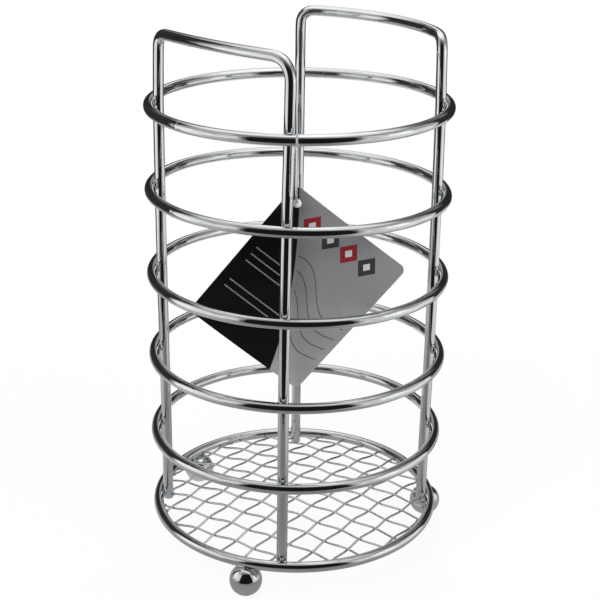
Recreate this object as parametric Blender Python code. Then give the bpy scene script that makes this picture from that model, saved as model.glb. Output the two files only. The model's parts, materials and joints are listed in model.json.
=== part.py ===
# Open wire utensil holder: six welded hoops, two bent upright frames, a woven
# wire floor, three ball feet and a hang tag on a nylon loop. Metres, +Z up.
# The origin is on the surface it stands on, under the middle of its bounding box.
# Bearings are degrees round the hoops' axis, from the front (-Y) towards +X.

import math

import bmesh
import bpy
from mathutils import Matrix, Vector

# Fits between neighbouring pieces, and how near two points are when they are one
CLEARANCE = 0.0003
SAME_POINT_DISTANCE = 0.000001

# Hoops
WIRE_RADIUS = 0.002
HOOP_RADIUS = 0.055
HOOP_PITCH = 0.0321
HOOP_NAMES = ("base_hoop", "hoop_2", "hoop_3", "hoop_4", "hoop_5", "top_hoop")
HOOP_SEGMENTS = 56
WIRE_SIDES = 8
WIRE_ROUNDING = 2

# Upright frames: two legs joined over the top by a bowed bar. The front leg leans,
# and its top stands to the right of its foot.
LEFT_LEG_BEARING = -90.0
FRONT_LEG_BEARING = -4.8
RIGHT_LEG_BEARING = 90.0
BACK_LEG_BEARING = 179.7
LEFT_LEG_HEIGHT = 0.1850
FRONT_LEG_HEIGHT = 0.1866
RIGHT_LEG_HEIGHT = 0.1852
BACK_LEG_HEIGHT = 0.1861
FRONT_LEG_LEAN = 0.0015
LEFT_BAR_BOW = 0.0028
RIGHT_BAR_BOW = 0.0120
FRAME_BEND_RADIUS = 0.0045
BEND_STEPS = 5
BAR_STEPS = 12

# Woven floor: two sets of crimped wires, domed in the middle
MESH_WIRE_RADIUS = 0.00045
MESH_WIRE_ROUNDING = 1
MESH_CELLS_ACROSS = 11.52
ACROSS_DIRECTION = -31.5
ALONG_DIRECTION = 53.0
MESH_CROSSING_SHARES = (-0.284, 0.317)
MESH_RIM_DROP = 0.0008
MESH_CROWN = 0.0037
MESH_END_STEP = 0.0001
MESH_SHORTEST_SHARE = 1.3

# Ball feet
FOOT_RADIUS = 0.0061
FOOT_DROP = 0.0076
FOOT_FLAT_RADIUS = 0.0020
FOOT_BEARINGS = {"front_foot": -18.7, "right_foot": 101.6, "back_foot": -131.8}
FOOT_SEGMENTS = 24
FOOT_RINGS = 16

# Hang tag card
CARD_SHORT_SIDE = 0.0488
CARD_LONG_SIDE = 0.0620
CARD_THICKNESS = 0.0005
CARD_CORNER_RADIUS = 0.0025
CARD_CORNER_STEPS = 4
CARD_YAW = -4.42
CARD_LEAN = 4.67
CARD_TURN = 37.8
HOLE_RADIUS = 0.0020
HOLE_INSET = 0.0054
HOLE_SEGMENTS = 16

# Nylon loop and the ball that locks it
STRAND_RADIUS = 0.0004
STRAND_ROUNDING = 1
LOCK_RADIUS = 0.0014
LOCK_SEGMENTS = 16
LOCK_RINGS = 12
LOCK_STANDOFF = 0.0026
HANG_DROP = 0.0243
HANG_DEPTH = 0.0115
HANG_RISE_IN_HOLE = 0.0010
LOOP_SWELL = 0.0008
LOOP_KNEE_DROP = 0.0190
STRAND_STEPS = 3
WRAP_STEPS = 8


def remove_everything():
    for old in list(bpy.data.objects):
        bpy.data.objects.remove(old, do_unlink=True)
    for old in list(bpy.data.collections):
        bpy.data.collections.remove(old)


def new_collection(name):
    collection = bpy.data.collections.new(name)
    bpy.context.scene.collection.children.link(collection)
    return collection


def keep(obj, collection, material=None, parent=None):
    for owner in list(obj.users_collection):
        owner.objects.unlink(obj)
    collection.objects.link(obj)
    if material:
        obj.data.materials.clear()
        obj.data.materials.append(material)
    if parent:
        obj.parent = parent
    return obj


def make_material(name, colour, roughness, metallic, alpha=1.0):
    material = bpy.data.materials.new(name)
    material.use_nodes = True
    shader = material.node_tree.nodes["Principled BSDF"]
    shader.inputs["Base Color"].default_value = (*colour, 1.0)
    shader.inputs["Roughness"].default_value = roughness
    shader.inputs["Metallic"].default_value = metallic
    shader.inputs["Alpha"].default_value = alpha
    return material


def on_circle(radius, bearing, height=0.0):
    angle = math.radians(bearing)
    return Vector((radius * math.sin(angle), -radius * math.cos(angle), height))


def level_direction(degrees):
    angle = math.radians(degrees)
    return Vector((math.cos(angle), math.sin(angle), 0))


def wire_curve(name, points, radius, rounding):
    curve = bpy.data.curves.new(name, "CURVE")
    curve.dimensions = "3D"
    curve.bevel_depth = radius
    curve.bevel_resolution = rounding
    curve.use_fill_caps = True
    spline = curve.splines.new("POLY")
    spline.points.add(len(points) - 1)
    for target, point in zip(spline.points, points):
        target.co = (*point, 1.0)
    spline.use_smooth = True
    return bpy.data.objects.new(name, curve)


def curve_to_mesh(obj, collection):
    bpy.context.view_layer.update()
    evaluated = obj.evaluated_get(bpy.context.evaluated_depsgraph_get())
    mesh = bpy.data.meshes.new_from_object(evaluated)
    shell = bmesh.new()
    shell.from_mesh(mesh)
    bmesh.ops.remove_doubles(shell, verts=shell.verts, dist=SAME_POINT_DISTANCE)
    shell.to_mesh(mesh)
    shell.free()
    name = obj.name
    solid = bpy.data.objects.new(name + "_solid", mesh)
    solid.matrix_world = obj.matrix_world
    collection.objects.link(solid)
    bpy.data.objects.remove(obj, do_unlink=True)
    return solid


def smooth_path(points, steps):
    # Centripetal Catmull-Rom spline through the points
    ends = [points[0] * 2 - points[1], *points, points[-1] * 2 - points[-2]]
    path = []
    for before, start, end, after in zip(ends, ends[1:], ends[2:], ends[3:]):
        t1 = math.sqrt((start - before).length)
        t2 = t1 + math.sqrt((end - start).length)
        t3 = t2 + math.sqrt((after - end).length)
        for step in range(steps):
            t = t1 + (t2 - t1) * step / steps
            first = before.lerp(start, t / t1)
            second = start.lerp(end, (t - t1) / (t2 - t1))
            third = end.lerp(after, (t - t2) / (t3 - t2))
            early = first.lerp(second, t / t2)
            late = second.lerp(third, (t - t1) / (t3 - t1))
            path.append(early.lerp(late, (t - t1) / (t2 - t1)))
    path.append(points[-1])
    return path


def as_cutter(obj, cutters, parent):
    keep(obj, cutters, parent=parent)
    obj.hide_render = True
    obj.display_type = "WIRE"
    return obj


def add_boolean(obj, other, operation):
    modifier = obj.modifiers.new(other.name, "BOOLEAN")
    modifier.object = other
    modifier.operation = operation
    modifier.solver = "EXACT"


# Where things stand, worked out from the sizes above

leg_circle = HOOP_RADIUS - 2 * WIRE_RADIUS - CLEARANCE
leg_places = {
    bearing: on_circle(leg_circle, bearing)
    for bearing in (LEFT_LEG_BEARING, FRONT_LEG_BEARING, RIGHT_LEG_BEARING, BACK_LEG_BEARING)
}
leg_tops = {
    LEFT_LEG_BEARING: leg_places[LEFT_LEG_BEARING] + Vector((0, 0, LEFT_LEG_HEIGHT)),
    FRONT_LEG_BEARING: leg_places[FRONT_LEG_BEARING] + Vector((FRONT_LEG_LEAN, 0, FRONT_LEG_HEIGHT)),
    RIGHT_LEG_BEARING: leg_places[RIGHT_LEG_BEARING] + Vector((0, 0, RIGHT_LEG_HEIGHT)),
    BACK_LEG_BEARING: leg_places[BACK_LEG_BEARING] + Vector((0, 0, BACK_LEG_HEIGHT)),
}
foot_places = {
    name: on_circle(HOOP_RADIUS, bearing, -FOOT_DROP) for name, bearing in FOOT_BEARINGS.items()
}
foot_standing_depth = math.sqrt(FOOT_RADIUS ** 2 - FOOT_FLAT_RADIUS ** 2)
base_height = FOOT_DROP + foot_standing_depth
top_hoop_height = HOOP_PITCH * (len(HOOP_NAMES) - 1)
mesh_radius = HOOP_RADIUS - WIRE_RADIUS - CLEARANCE
mesh_pitch = 2 * mesh_radius / MESH_CELLS_ACROSS
hoop_reach = HOOP_RADIUS + WIRE_RADIUS


def middle_of(axis):
    low = min(-hoop_reach, *(place[axis] - FOOT_RADIUS for place in foot_places.values()))
    high = max(hoop_reach, *(place[axis] + FOOT_RADIUS for place in foot_places.values()))
    return (low + high) / 2


def add_hoop(name, height, metal, parts, axis):
    bpy.ops.mesh.primitive_torus_add(
        major_segments=HOOP_SEGMENTS, minor_segments=WIRE_SIDES,
        major_radius=HOOP_RADIUS, minor_radius=WIRE_RADIUS)
    hoop = keep(bpy.context.object, parts, metal, axis)
    hoop.name = name
    hoop.location = (0, 0, height)
    hoop.data.shade_smooth()


def bar_path(start, end, bow):
    chord = end - start
    half = chord.length / 2
    radius = (half ** 2 + bow ** 2) / (2 * bow)
    middle = (start + end) / 2
    outward = Vector((middle.x, middle.y, 0)).normalized()
    along = chord.normalized()
    reach = math.asin(half / radius)
    bar = []
    for step in range(BAR_STEPS + 1):
        turn = reach * (2 * step / BAR_STEPS - 1)
        side = outward * (radius * math.cos(turn) - radius + bow)
        bar.append(middle + along * (radius * math.sin(turn)) + side)
    return bar


def bend_from_leg(top, towards):
    along = (towards - top).normalized()
    centre = top + (along - Vector((0, 0, 1))) * FRAME_BEND_RADIUS
    bend = []
    for step in range(BEND_STEPS + 1):
        turn = math.radians(90) * step / BEND_STEPS
        spoke = Vector((0, 0, math.sin(turn))) - along * math.cos(turn)
        bend.append(centre + FRAME_BEND_RADIUS * spoke)
    return bend


def add_upright_frame(name, first, second, bow, metal, parts, axis):
    first_top = leg_tops[first]
    second_top = leg_tops[second]
    bar = bar_path(first_top, second_top, bow)
    inner = [point for point in bar
             if min((point - first_top).length, (point - second_top).length) > 2 * FRAME_BEND_RADIUS]
    foot = Vector((0, 0, -WIRE_RADIUS))
    path = [leg_places[first] + foot]
    path += bend_from_leg(first_top, inner[0])
    path += inner
    path += reversed(bend_from_leg(second_top, inner[-1]))
    path.append(leg_places[second] + foot)
    keep(wire_curve(name, path, WIRE_RADIUS, WIRE_ROUNDING), parts, metal, axis)


def room_for_mesh(point):
    from_axis = math.hypot(point.x, point.y)
    reach = MESH_WIRE_RADIUS + CLEARANCE
    if math.hypot(HOOP_RADIUS - from_axis, point.z) < WIRE_RADIUS + reach:
        return False
    if from_axis > HOOP_RADIUS:
        return False
    for leg in leg_places.values():
        if math.hypot(point.x - leg.x, point.y - leg.y) < WIRE_RADIUS + reach:
            return False
    return all((point - foot).length > FOOT_RADIUS + reach for foot in foot_places.values())


def mesh_height(point):
    share = (point.x ** 2 + point.y ** 2) / HOOP_RADIUS ** 2
    return MESH_CROWN * (1 - share) - MESH_RIM_DROP


def mesh_wire_path(middle, direction, crossing_start, crossing_step, over_first):
    # Walks out from the wire's middle both ways, to the last place with room
    crimp = MESH_WIRE_RADIUS + CLEARANCE / 2

    def height_at(distance):
        turn = (distance - crossing_start) / crossing_step
        nearest = math.floor(turn)
        side = 1 if (nearest % 2 == 0) == over_first else -1
        return side * crimp * (1 - 2 * (turn - nearest))

    def place(distance):
        point = middle + direction * distance
        return Vector((point.x, point.y, mesh_height(point) + height_at(distance)))

    if not room_for_mesh(place(0)):
        return []
    low = 0.0
    while room_for_mesh(place(low - MESH_END_STEP)):
        low -= MESH_END_STEP
    high = 0.0
    while room_for_mesh(place(high + MESH_END_STEP)):
        high += MESH_END_STEP
    if high - low < mesh_pitch * MESH_SHORTEST_SHARE:
        return []
    first = math.ceil((low + MESH_WIRE_RADIUS - crossing_start) / crossing_step)
    last = math.floor((high - MESH_WIRE_RADIUS - crossing_start) / crossing_step)
    crossings = [crossing_start + crossing_step * count for count in range(first, last + 1)]
    return [place(distance) for distance in (low, *crossings, high)]


def add_mesh_wires(metal, parts, axis):
    origin = Vector((*MESH_CROSSING_SHARES, 0)) * mesh_pitch
    across = level_direction(ACROSS_DIRECTION)
    along = level_direction(ALONG_DIRECTION)
    sets = (("mesh_across", across, along, True), ("mesh_along", along, across, False))
    lines_each_way = math.ceil(MESH_CELLS_ACROSS / 2) + 1
    for label, direction, step_direction, over in sets:
        count = 0
        for line in range(-lines_each_way, lines_each_way + 1):
            start = origin + step_direction * (mesh_pitch * line)
            to_middle = -start.dot(direction)
            middle = start + direction * to_middle
            path = mesh_wire_path(middle, direction, -to_middle, mesh_pitch, over == (line % 2 == 0))
            if path:
                count += 1
                name = f"{label}_{count:02d}"
                wire = wire_curve(name, path, MESH_WIRE_RADIUS, MESH_WIRE_ROUNDING)
                keep(wire, parts, metal, axis)


def add_foot(name, place, saddle, metal, parts, cutters, axis):
    bpy.ops.mesh.primitive_uv_sphere_add(segments=FOOT_SEGMENTS, ring_count=FOOT_RINGS, radius=FOOT_RADIUS)
    foot = keep(bpy.context.object, parts, metal, axis)
    foot.name = name
    foot.location = place
    foot.data.shade_smooth()
    bpy.ops.mesh.primitive_cube_add(size=FOOT_RADIUS * 2)
    below = as_cutter(bpy.context.object, cutters, axis)
    below.name = name + "_flat_cutter"
    below.location = place - Vector((0, 0, foot_standing_depth + FOOT_RADIUS))
    add_boolean(foot, saddle, "DIFFERENCE")
    add_boolean(foot, below, "DIFFERENCE")


def add_saddle_cutter(cutters, axis):
    bpy.ops.mesh.primitive_torus_add(
        major_segments=2 * HOOP_SEGMENTS, minor_segments=2 * WIRE_SIDES,
        major_radius=HOOP_RADIUS, minor_radius=WIRE_RADIUS + CLEARANCE)
    saddle = as_cutter(bpy.context.object, cutters, axis)
    saddle.name = "saddle_cutter"
    return saddle


# The card's own directions: right and up across its face, and out of its front
card_right = level_direction(CARD_YAW)
card_level = card_right.cross(Vector((0, 0, 1)))
lean_angle = math.radians(CARD_LEAN)
card_up = Vector((0, 0, math.cos(lean_angle))) + card_level * math.sin(lean_angle)
card_front = card_right.cross(card_up)

leg_at_top_hoop = leg_places[FRONT_LEG_BEARING].lerp(
    leg_tops[FRONT_LEG_BEARING], top_hoop_height / FRONT_LEG_HEIGHT)
loop_side = leg_at_top_hoop.x + WIRE_RADIUS + CLEARANCE + STRAND_RADIUS
loop_pivot = Vector((0, -HOOP_RADIUS, top_hoop_height))
hang_point = loop_pivot + Vector((0, HANG_DEPTH, -HANG_DROP))
corner_cut = CARD_CORNER_RADIUS * (math.sqrt(2) - 1)
top_corner_reach = HOLE_INSET * math.sqrt(2) - corner_cut - HANG_RISE_IN_HOLE


def card_outline():
    # Corner, hole and sides in the card's own plane, measured from the hang point
    turn = math.radians(CARD_TURN)
    short_way = Vector((math.cos(turn), -math.sin(turn)))
    long_way = Vector((-math.sin(turn), -math.cos(turn)))
    hole = Vector((0, -HANG_RISE_IN_HOLE))
    corner = hole - (short_way + long_way) * HOLE_INSET
    inset = CARD_CORNER_RADIUS
    far_short = CARD_SHORT_SIDE - inset
    far_long = CARD_LONG_SIDE - inset
    corners = (
        (inset, inset, -short_way, -long_way),
        (far_short, inset, -long_way, short_way),
        (far_short, far_long, short_way, long_way),
        (inset, far_long, long_way, -short_way),
    )
    outline = []
    for short, long, facing, next_facing in corners:
        centre = corner + short_way * short + long_way * long
        for step in range(CARD_CORNER_STEPS + 1):
            angle = math.radians(90) * step / CARD_CORNER_STEPS
            spoke = facing * math.cos(angle) + next_facing * math.sin(angle)
            outline.append(centre + CARD_CORNER_RADIUS * spoke)
    return outline, hole


def add_card(material, parts, loop):
    outline, hole = card_outline()
    curve = bpy.data.curves.new("tag_card", "CURVE")
    curve.dimensions = "2D"
    curve.fill_mode = "BOTH"
    curve.extrude = CARD_THICKNESS / 2
    rim = [hole + HOLE_RADIUS * Vector((math.cos(angle), math.sin(angle)))
           for angle in (math.radians(360) * step / HOLE_SEGMENTS for step in range(HOLE_SEGMENTS))]
    for ring in (outline, rim):
        spline = curve.splines.new("POLY")
        spline.points.add(len(ring) - 1)
        for target, point in zip(spline.points, ring):
            target.co = (point.x, point.y, 0, 1)
        spline.use_cyclic_u = True
    card = keep(bpy.data.objects.new("tag_card", curve), parts, material, loop)
    turned = Matrix((card_right, card_up, card_front)).transposed().to_4x4()
    card.matrix_local = Matrix.Translation(hang_point - loop_pivot) @ turned


def loop_route():
    # From the lock up the outside of the top hoop, over it, down behind the card
    # and forward through its hole to the lock again, measured from the pivot
    hang = hang_point - loop_pivot
    wrap = WIRE_RADIUS + CLEARANCE + STRAND_RADIUS
    behind = CARD_THICKNESS / 2 + CLEARANCE + STRAND_RADIUS
    lock = hang + card_front * LOCK_STANDOFF
    over_corner = top_corner_reach + 2 * STRAND_RADIUS + CLEARANCE
    knee = Vector((loop_side, -wrap + LOOP_SWELL, -LOOP_KNEE_DROP))
    swell = Vector((loop_side, -wrap - LOOP_SWELL, -LOOP_KNEE_DROP / 2))
    front = [lock + (knee - lock).normalized() * LOCK_RADIUS / 2, (lock + knee) / 2, knee, swell]
    hoop = []
    for step in range(WRAP_STEPS + 1):
        angle = math.radians(180) * step / WRAP_STEPS
        hoop.append(Vector((loop_side, -wrap * math.cos(angle), wrap * math.sin(angle))))
    inner_end = hoop[-1]
    above = hang + card_up * over_corner
    down = (inner_end + above) / 2 + Vector((0, -LOOP_SWELL, 0))
    back = [
        down,
        above,
        hang + card_up * top_corner_reach - card_front * behind,
        hang + card_up * behind - card_front * behind,
        hang - card_front * behind / 2,
        lock - card_front * LOCK_RADIUS / 2,
    ]
    return smooth_path(front + hoop + back, STRAND_STEPS)


def add_loop(material, parts, cutters, axis):
    bpy.ops.mesh.primitive_uv_sphere_add(
        segments=LOCK_SEGMENTS, ring_count=LOCK_RINGS, radius=LOCK_RADIUS)
    loop = keep(bpy.context.object, parts, material, axis)
    loop.name = "tag_loop"
    lock = hang_point - loop_pivot + card_front * LOCK_STANDOFF
    loop.data.transform(Matrix.Translation(lock))
    loop.location = loop_pivot
    loop.data.shade_smooth()
    strand = wire_curve("strand", loop_route(), STRAND_RADIUS, STRAND_ROUNDING)
    bpy.context.scene.collection.objects.link(strand)
    solid = as_cutter(curve_to_mesh(strand, cutters), cutters, axis)
    solid.location = loop_pivot
    add_boolean(loop, solid, "UNION")
    return loop


def build():
    remove_everything()
    parts = new_collection("utensil_holder")
    cutters = new_collection("cutters")
    chrome = make_material("bright_chrome", (0.78, 0.79, 0.80), 0.06, 1.0)
    card = make_material("tag_card", (0.35, 0.35, 0.36), 0.45, 0.0)
    nylon = make_material("tag_nylon", (0.85, 0.87, 0.88), 0.30, 0.0, 0.6)

    axis = bpy.data.objects.new("hoop_axis", None)
    parts.objects.link(axis)
    axis.location = (-middle_of(0), -middle_of(1), base_height)

    for count, name in enumerate(HOOP_NAMES):
        add_hoop(name, HOOP_PITCH * count, chrome, parts, axis)
    add_upright_frame("left_upright_frame", LEFT_LEG_BEARING, FRONT_LEG_BEARING,
                      LEFT_BAR_BOW, chrome, parts, axis)
    add_upright_frame("right_upright_frame", RIGHT_LEG_BEARING, BACK_LEG_BEARING,
                      RIGHT_BAR_BOW, chrome, parts, axis)
    add_mesh_wires(chrome, parts, axis)
    saddle = add_saddle_cutter(cutters, axis)
    for name, place in foot_places.items():
        add_foot(name, place, saddle, chrome, parts, cutters, axis)
    loop = add_loop(nylon, parts, cutters, axis)
    add_card(card, parts, loop)


build()
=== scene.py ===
# Looks for an open wire utensil holder: bright chromed hoops and uprights, a woven
# wire floor, ball feet and a printed hang tag, in a small light tent.
# Metres, +Z up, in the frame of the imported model.

import json
import math

import bmesh
import bpy
from mathutils import Matrix, Vector, noise


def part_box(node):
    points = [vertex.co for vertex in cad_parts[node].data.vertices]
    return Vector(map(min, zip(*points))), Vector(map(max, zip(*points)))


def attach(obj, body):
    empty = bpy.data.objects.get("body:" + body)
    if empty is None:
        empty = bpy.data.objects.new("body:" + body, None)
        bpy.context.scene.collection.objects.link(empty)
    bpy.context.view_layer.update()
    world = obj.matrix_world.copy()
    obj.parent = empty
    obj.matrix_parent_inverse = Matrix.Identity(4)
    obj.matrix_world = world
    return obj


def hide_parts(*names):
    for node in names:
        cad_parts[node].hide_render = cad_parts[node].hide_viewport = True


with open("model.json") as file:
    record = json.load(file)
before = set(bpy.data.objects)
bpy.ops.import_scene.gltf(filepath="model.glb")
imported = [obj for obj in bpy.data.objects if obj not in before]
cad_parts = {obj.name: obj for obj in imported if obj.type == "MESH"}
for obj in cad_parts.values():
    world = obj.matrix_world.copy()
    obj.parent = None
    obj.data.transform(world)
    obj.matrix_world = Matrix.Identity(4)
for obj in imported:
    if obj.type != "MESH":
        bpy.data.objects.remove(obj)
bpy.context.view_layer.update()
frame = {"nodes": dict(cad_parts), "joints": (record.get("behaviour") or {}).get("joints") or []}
scene = bpy.context.scene

millimetre = 0.001
hoopNames = ("base_hoop", "hoop_2", "hoop_3", "hoop_4", "hoop_5", "top_hoop")
baseLow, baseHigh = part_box("base_hoop")
wireRadius = (baseHigh.z - baseLow.z) / 2
hoopRadius = (baseHigh.x - baseLow.x) / 2 - wireRadius
holderAxis = (baseLow + baseHigh) / 2  # middle of the base hoop
hoopHeights = {name: (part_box(name)[0].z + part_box(name)[1].z) / 2 - holderAxis.z
               for name in hoopNames}
joints = {joint["name"]: joint for joint in frame["joints"]}
loopPivot = Vector(joints["loop_swing"]["pos_m"]) - holderAxis
hangPoint = Vector(joints["card_tip"]["pos_m"]) - holderAxis


def onCircle(radius, bearing, height=0.0):
    # Bearings run round the hoops' axis, from the front (-Y) towards +X
    angle = math.radians(bearing)
    return Vector((radius * math.sin(angle), -radius * math.cos(angle), height))


def levelDirection(degrees):
    return Vector((math.cos(math.radians(degrees)), math.sin(math.radians(degrees)), 0))


# Node helpers

def addNode(tree, kind, **settings):
    node = tree.nodes.new(kind)
    for key, value in settings.items():
        setattr(node, key, value)
    return node


def feed(tree, socket, value):
    if isinstance(value, bpy.types.NodeSocket):
        tree.links.new(value, socket)
    else:
        socket.default_value = value


def calc(tree, operation, *values):
    node = addNode(tree, "ShaderNodeMath", operation=operation)
    for socket, value in zip(node.inputs, values):
        feed(tree, socket, value)
    return node.outputs[0]


def mapRange(tree, value, fromLow, fromHigh, toLow=0.0, toHigh=1.0, form="LINEAR"):
    node = addNode(tree, "ShaderNodeMapRange", interpolation_type=form)
    for socket, item in zip(node.inputs, (value, fromLow, fromHigh, toLow, toHigh)):
        feed(tree, socket, item)
    return node.outputs[0]


def fade(tree, value, start, end):
    # Nought at the start and one at the end, smooth between
    return mapRange(tree, value, start, end, form="SMOOTHSTEP")


def mixColour(tree, share, first, second):
    node = addNode(tree, "ShaderNodeMix", data_type="RGBA")
    # Sockets 6 and 7, and output 2, are the ones for colours
    feed(tree, node.inputs["Factor"], share)
    feed(tree, node.inputs[6], first)
    feed(tree, node.inputs[7], second)
    return node.outputs[2]


def noiseValue(tree, coordinates, scale, detail=2.0, roughness=0.5, distortion=0.0):
    node = addNode(tree, "ShaderNodeTexNoise")
    tree.links.new(coordinates, node.inputs["Vector"])
    node.inputs["Scale"].default_value = scale
    node.inputs["Detail"].default_value = detail
    node.inputs["Roughness"].default_value = roughness
    node.inputs["Distortion"].default_value = distortion
    return node.outputs[0]


def distanceFrom(tree, place, centre):
    node = addNode(tree, "ShaderNodeVectorMath", operation="DISTANCE")
    tree.links.new(place, node.inputs[0])
    node.inputs[1].default_value = centre
    return node.outputs["Value"]


def objectPlace(tree):
    return addNode(tree, "ShaderNodeTexCoord").outputs["Object"]


def splitAxes(tree, vector):
    node = addNode(tree, "ShaderNodeSeparateXYZ")
    tree.links.new(vector, node.inputs[0])
    return node.outputs


def addBump(tree, height, depth):
    node = addNode(tree, "ShaderNodeBump")
    node.inputs["Distance"].default_value = depth
    feed(tree, node.inputs["Height"], height)
    return node


def newMaterial(name):
    material = bpy.data.materials.new(name)
    material.use_nodes = True
    return material, material.node_tree, material.node_tree.nodes["Principled BSDF"]


# Chrome: a polished plating that is never quite even, with faint ripples, a fine grain
# and a few dull patches. Scales are counts per metre, depths are metres, and each
# range is the part of its noise over which the look changes.
chrome = {
    "colour": (0.735, 0.75, 0.765, 1.0), "dullColour": (0.64, 0.655, 0.67, 1.0),
    "polish": 0.025, "haze": 0.075,
    "rippleScale": 50.0, "rippleDepth": 0.00012, "rippleNoise": {"detail": 4.0, "roughness": 0.58},
    "grainScale": 1500.0, "grainDepth": 0.0000015, "grainNoise": {"detail": 4.0, "roughness": 0.6},
    "grainRange": (0.35, 0.75),
    "patchScale": 55.0, "patchNoise": {"detail": 5.0, "roughness": 0.65, "distortion": 0.6},
    "patchRange": (0.58, 0.80),
}
weldChrome = dict(
    chrome, colour=(0.44, 0.45, 0.46, 1.0), dullColour=(0.26, 0.265, 0.27, 1.0),
    polish=0.28, haze=0.42, rippleScale=250.0, rippleDepth=0.00004,
    grainScale=4000.0, grainDepth=0.000003, patchScale=200.0)
floorChrome = dict(
    chrome, colour=(0.72, 0.73, 0.74, 1.0), dullColour=(0.52, 0.53, 0.54, 1.0),
    polish=0.06, haze=0.16, rippleScale=150.0, rippleDepth=0.00007, patchScale=140.0)
ballChrome = dict(chrome, polish=0.015, haze=0.05, rippleScale=40.0, rippleDepth=0.00010)


def makeChrome(name, look):
    material, tree, shader = newMaterial(name)
    place = objectPlace(tree)
    ripple = noiseValue(tree, place, look["rippleScale"], **look["rippleNoise"])
    grain = noiseValue(tree, place, look["grainScale"], **look["grainNoise"])
    patch = noiseValue(tree, place, look["patchScale"], **look["patchNoise"])
    dullness = mapRange(tree, patch, *look["patchRange"])
    roughness = mapRange(tree, grain, *look["grainRange"], look["polish"], look["haze"])
    feed(tree, shader.inputs["Base Color"],
         mixColour(tree, dullness, look["colour"], look["dullColour"]))
    feed(tree, shader.inputs["Roughness"], roughness)
    shader.inputs["Metallic"].default_value = 1.0
    waves = addBump(tree, ripple, look["rippleDepth"])
    pits = addBump(tree, grain, look["grainDepth"])
    tree.links.new(waves.outputs[0], pits.inputs["Normal"])
    tree.links.new(pits.outputs[0], shader.inputs["Normal"])
    return material


wireFinish = makeChrome("wire_chrome", chrome)
weldFinish = makeChrome("weld_chrome", weldChrome)
floorFinish = makeChrome("floor_wire_chrome", floorChrome)
ballFinish = makeChrome("ball_chrome", ballChrome)
print("chrome finishes made")


# Pieces

def addPiece(name, shape, material):
    mesh = bpy.data.meshes.new(name)
    shape.to_mesh(mesh)
    shape.free()
    mesh.materials.append(material)
    piece = bpy.data.objects.new(name, mesh)
    scene.collection.objects.link(piece)
    return piece


def finishPiece(name, shape, material, body, replaced=(), sharpAngle=50):
    # Turns a shape, modelled about the holder's axis, into a piece of the frame
    bmesh.ops.translate(shape, verts=shape.verts, vec=holderAxis)
    piece = addPiece(name, shape, material)
    piece.data.shade_smooth()
    piece.data.set_sharp_from_angle(angle=math.radians(sharpAngle))
    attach(piece, body)
    if replaced:
        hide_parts(*replaced)
    return piece


def quarterTurn(shape, axis):
    bmesh.ops.rotate(shape, verts=shape.verts, cent=(0, 0, 0),
                     matrix=Matrix.Rotation(math.radians(90), 3, axis))


def everything(shape):
    return shape.verts[:] + shape.edges[:] + shape.faces[:]


# Points nearer together than this share of a tube's radius are one point
mergeShare = 0.001
# An edge sharper than this, in degrees, is the rim of a tube's end
rimAngle = 60


def tubeShape(points, radius, sides):
    # A round tube along the points, with its end caps joined on. A curve's round
    # section has four sides and two more for each step of its resolution.
    curve = bpy.data.curves.new("route", "CURVE")
    curve.dimensions = "3D"
    curve.bevel_depth = radius
    curve.bevel_resolution = sides // 2 - 2
    curve.use_fill_caps = True
    spline = curve.splines.new("POLY")
    spline.points.add(len(points) - 1)
    for target, point in zip(spline.points, points):
        target.co = (*point, 1.0)
    route = bpy.data.objects.new("route", curve)
    scene.collection.objects.link(route)
    bpy.context.view_layer.update()
    evaluated = route.evaluated_get(bpy.context.evaluated_depsgraph_get())
    mesh = bpy.data.meshes.new_from_object(evaluated)
    bpy.data.objects.remove(route, do_unlink=True)
    bpy.data.curves.remove(curve)
    shape = bmesh.new()
    shape.from_mesh(mesh)
    bpy.data.meshes.remove(mesh)
    bmesh.ops.remove_doubles(shape, verts=shape.verts, dist=radius * mergeShare)
    bmesh.ops.recalc_face_normals(shape, faces=shape.faces)
    return shape


def roundEnds(shape, width):
    rims = [edge for edge in shape.edges
            if len(edge.link_faces) == 2 and edge.calc_face_angle() > math.radians(rimAngle)]
    bmesh.ops.bevel(shape, geom=rims, offset=width, segments=3, profile=0.5,
                    affect="EDGES", material=-1)


def evenPoints(points, spacing):
    # The same route with points at an even spacing
    lengths = [0.0]
    for start, end in zip(points, points[1:]):
        lengths.append(lengths[-1] + (end - start).length)
    count = max(2, round(lengths[-1] / spacing))
    route = []
    span = 0
    for step in range(count + 1):
        distance = lengths[-1] * step / count
        while span < len(points) - 2 and lengths[span + 1] < distance:
            span += 1
        share = (distance - lengths[span]) / (lengths[span + 1] - lengths[span])
        route.append(points[span].lerp(points[span + 1], share))
    return route


def easeRoute(points, passes):
    # Takes the kinks out of a route, with its ends held
    for _ in range(passes):
        inner = [(before + here * 2 + after) / 4
                 for before, here, after in zip(points, points[1:], points[2:])]
        points = [points[0], *inner, points[-1]]
    return points


def smoothPath(points, steps):
    # Centripetal Catmull-Rom spline through the points
    ends = [points[0] * 2 - points[1], *points, points[-1] * 2 - points[-2]]
    path = []
    for before, start, end, after in zip(ends, ends[1:], ends[2:], ends[3:]):
        t1 = math.sqrt((start - before).length)
        t2 = t1 + math.sqrt((end - start).length)
        t3 = t2 + math.sqrt((after - end).length)
        for step in range(steps):
            t = t1 + (t2 - t1) * step / steps
            first = before.lerp(start, t / t1)
            second = start.lerp(end, (t - t1) / (t2 - t1))
            third = end.lerp(after, (t - t2) / (t3 - t2))
            early = first.lerp(second, t / t2)
            late = second.lerp(third, (t - t1) / (t3 - t1))
            path.append(early.lerp(late, (t - t1) / (t2 - t1)))
    path.append(points[-1])
    return path


# Lumps on a weld bead, counted along its radius
lumpScale = 1.7


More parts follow.
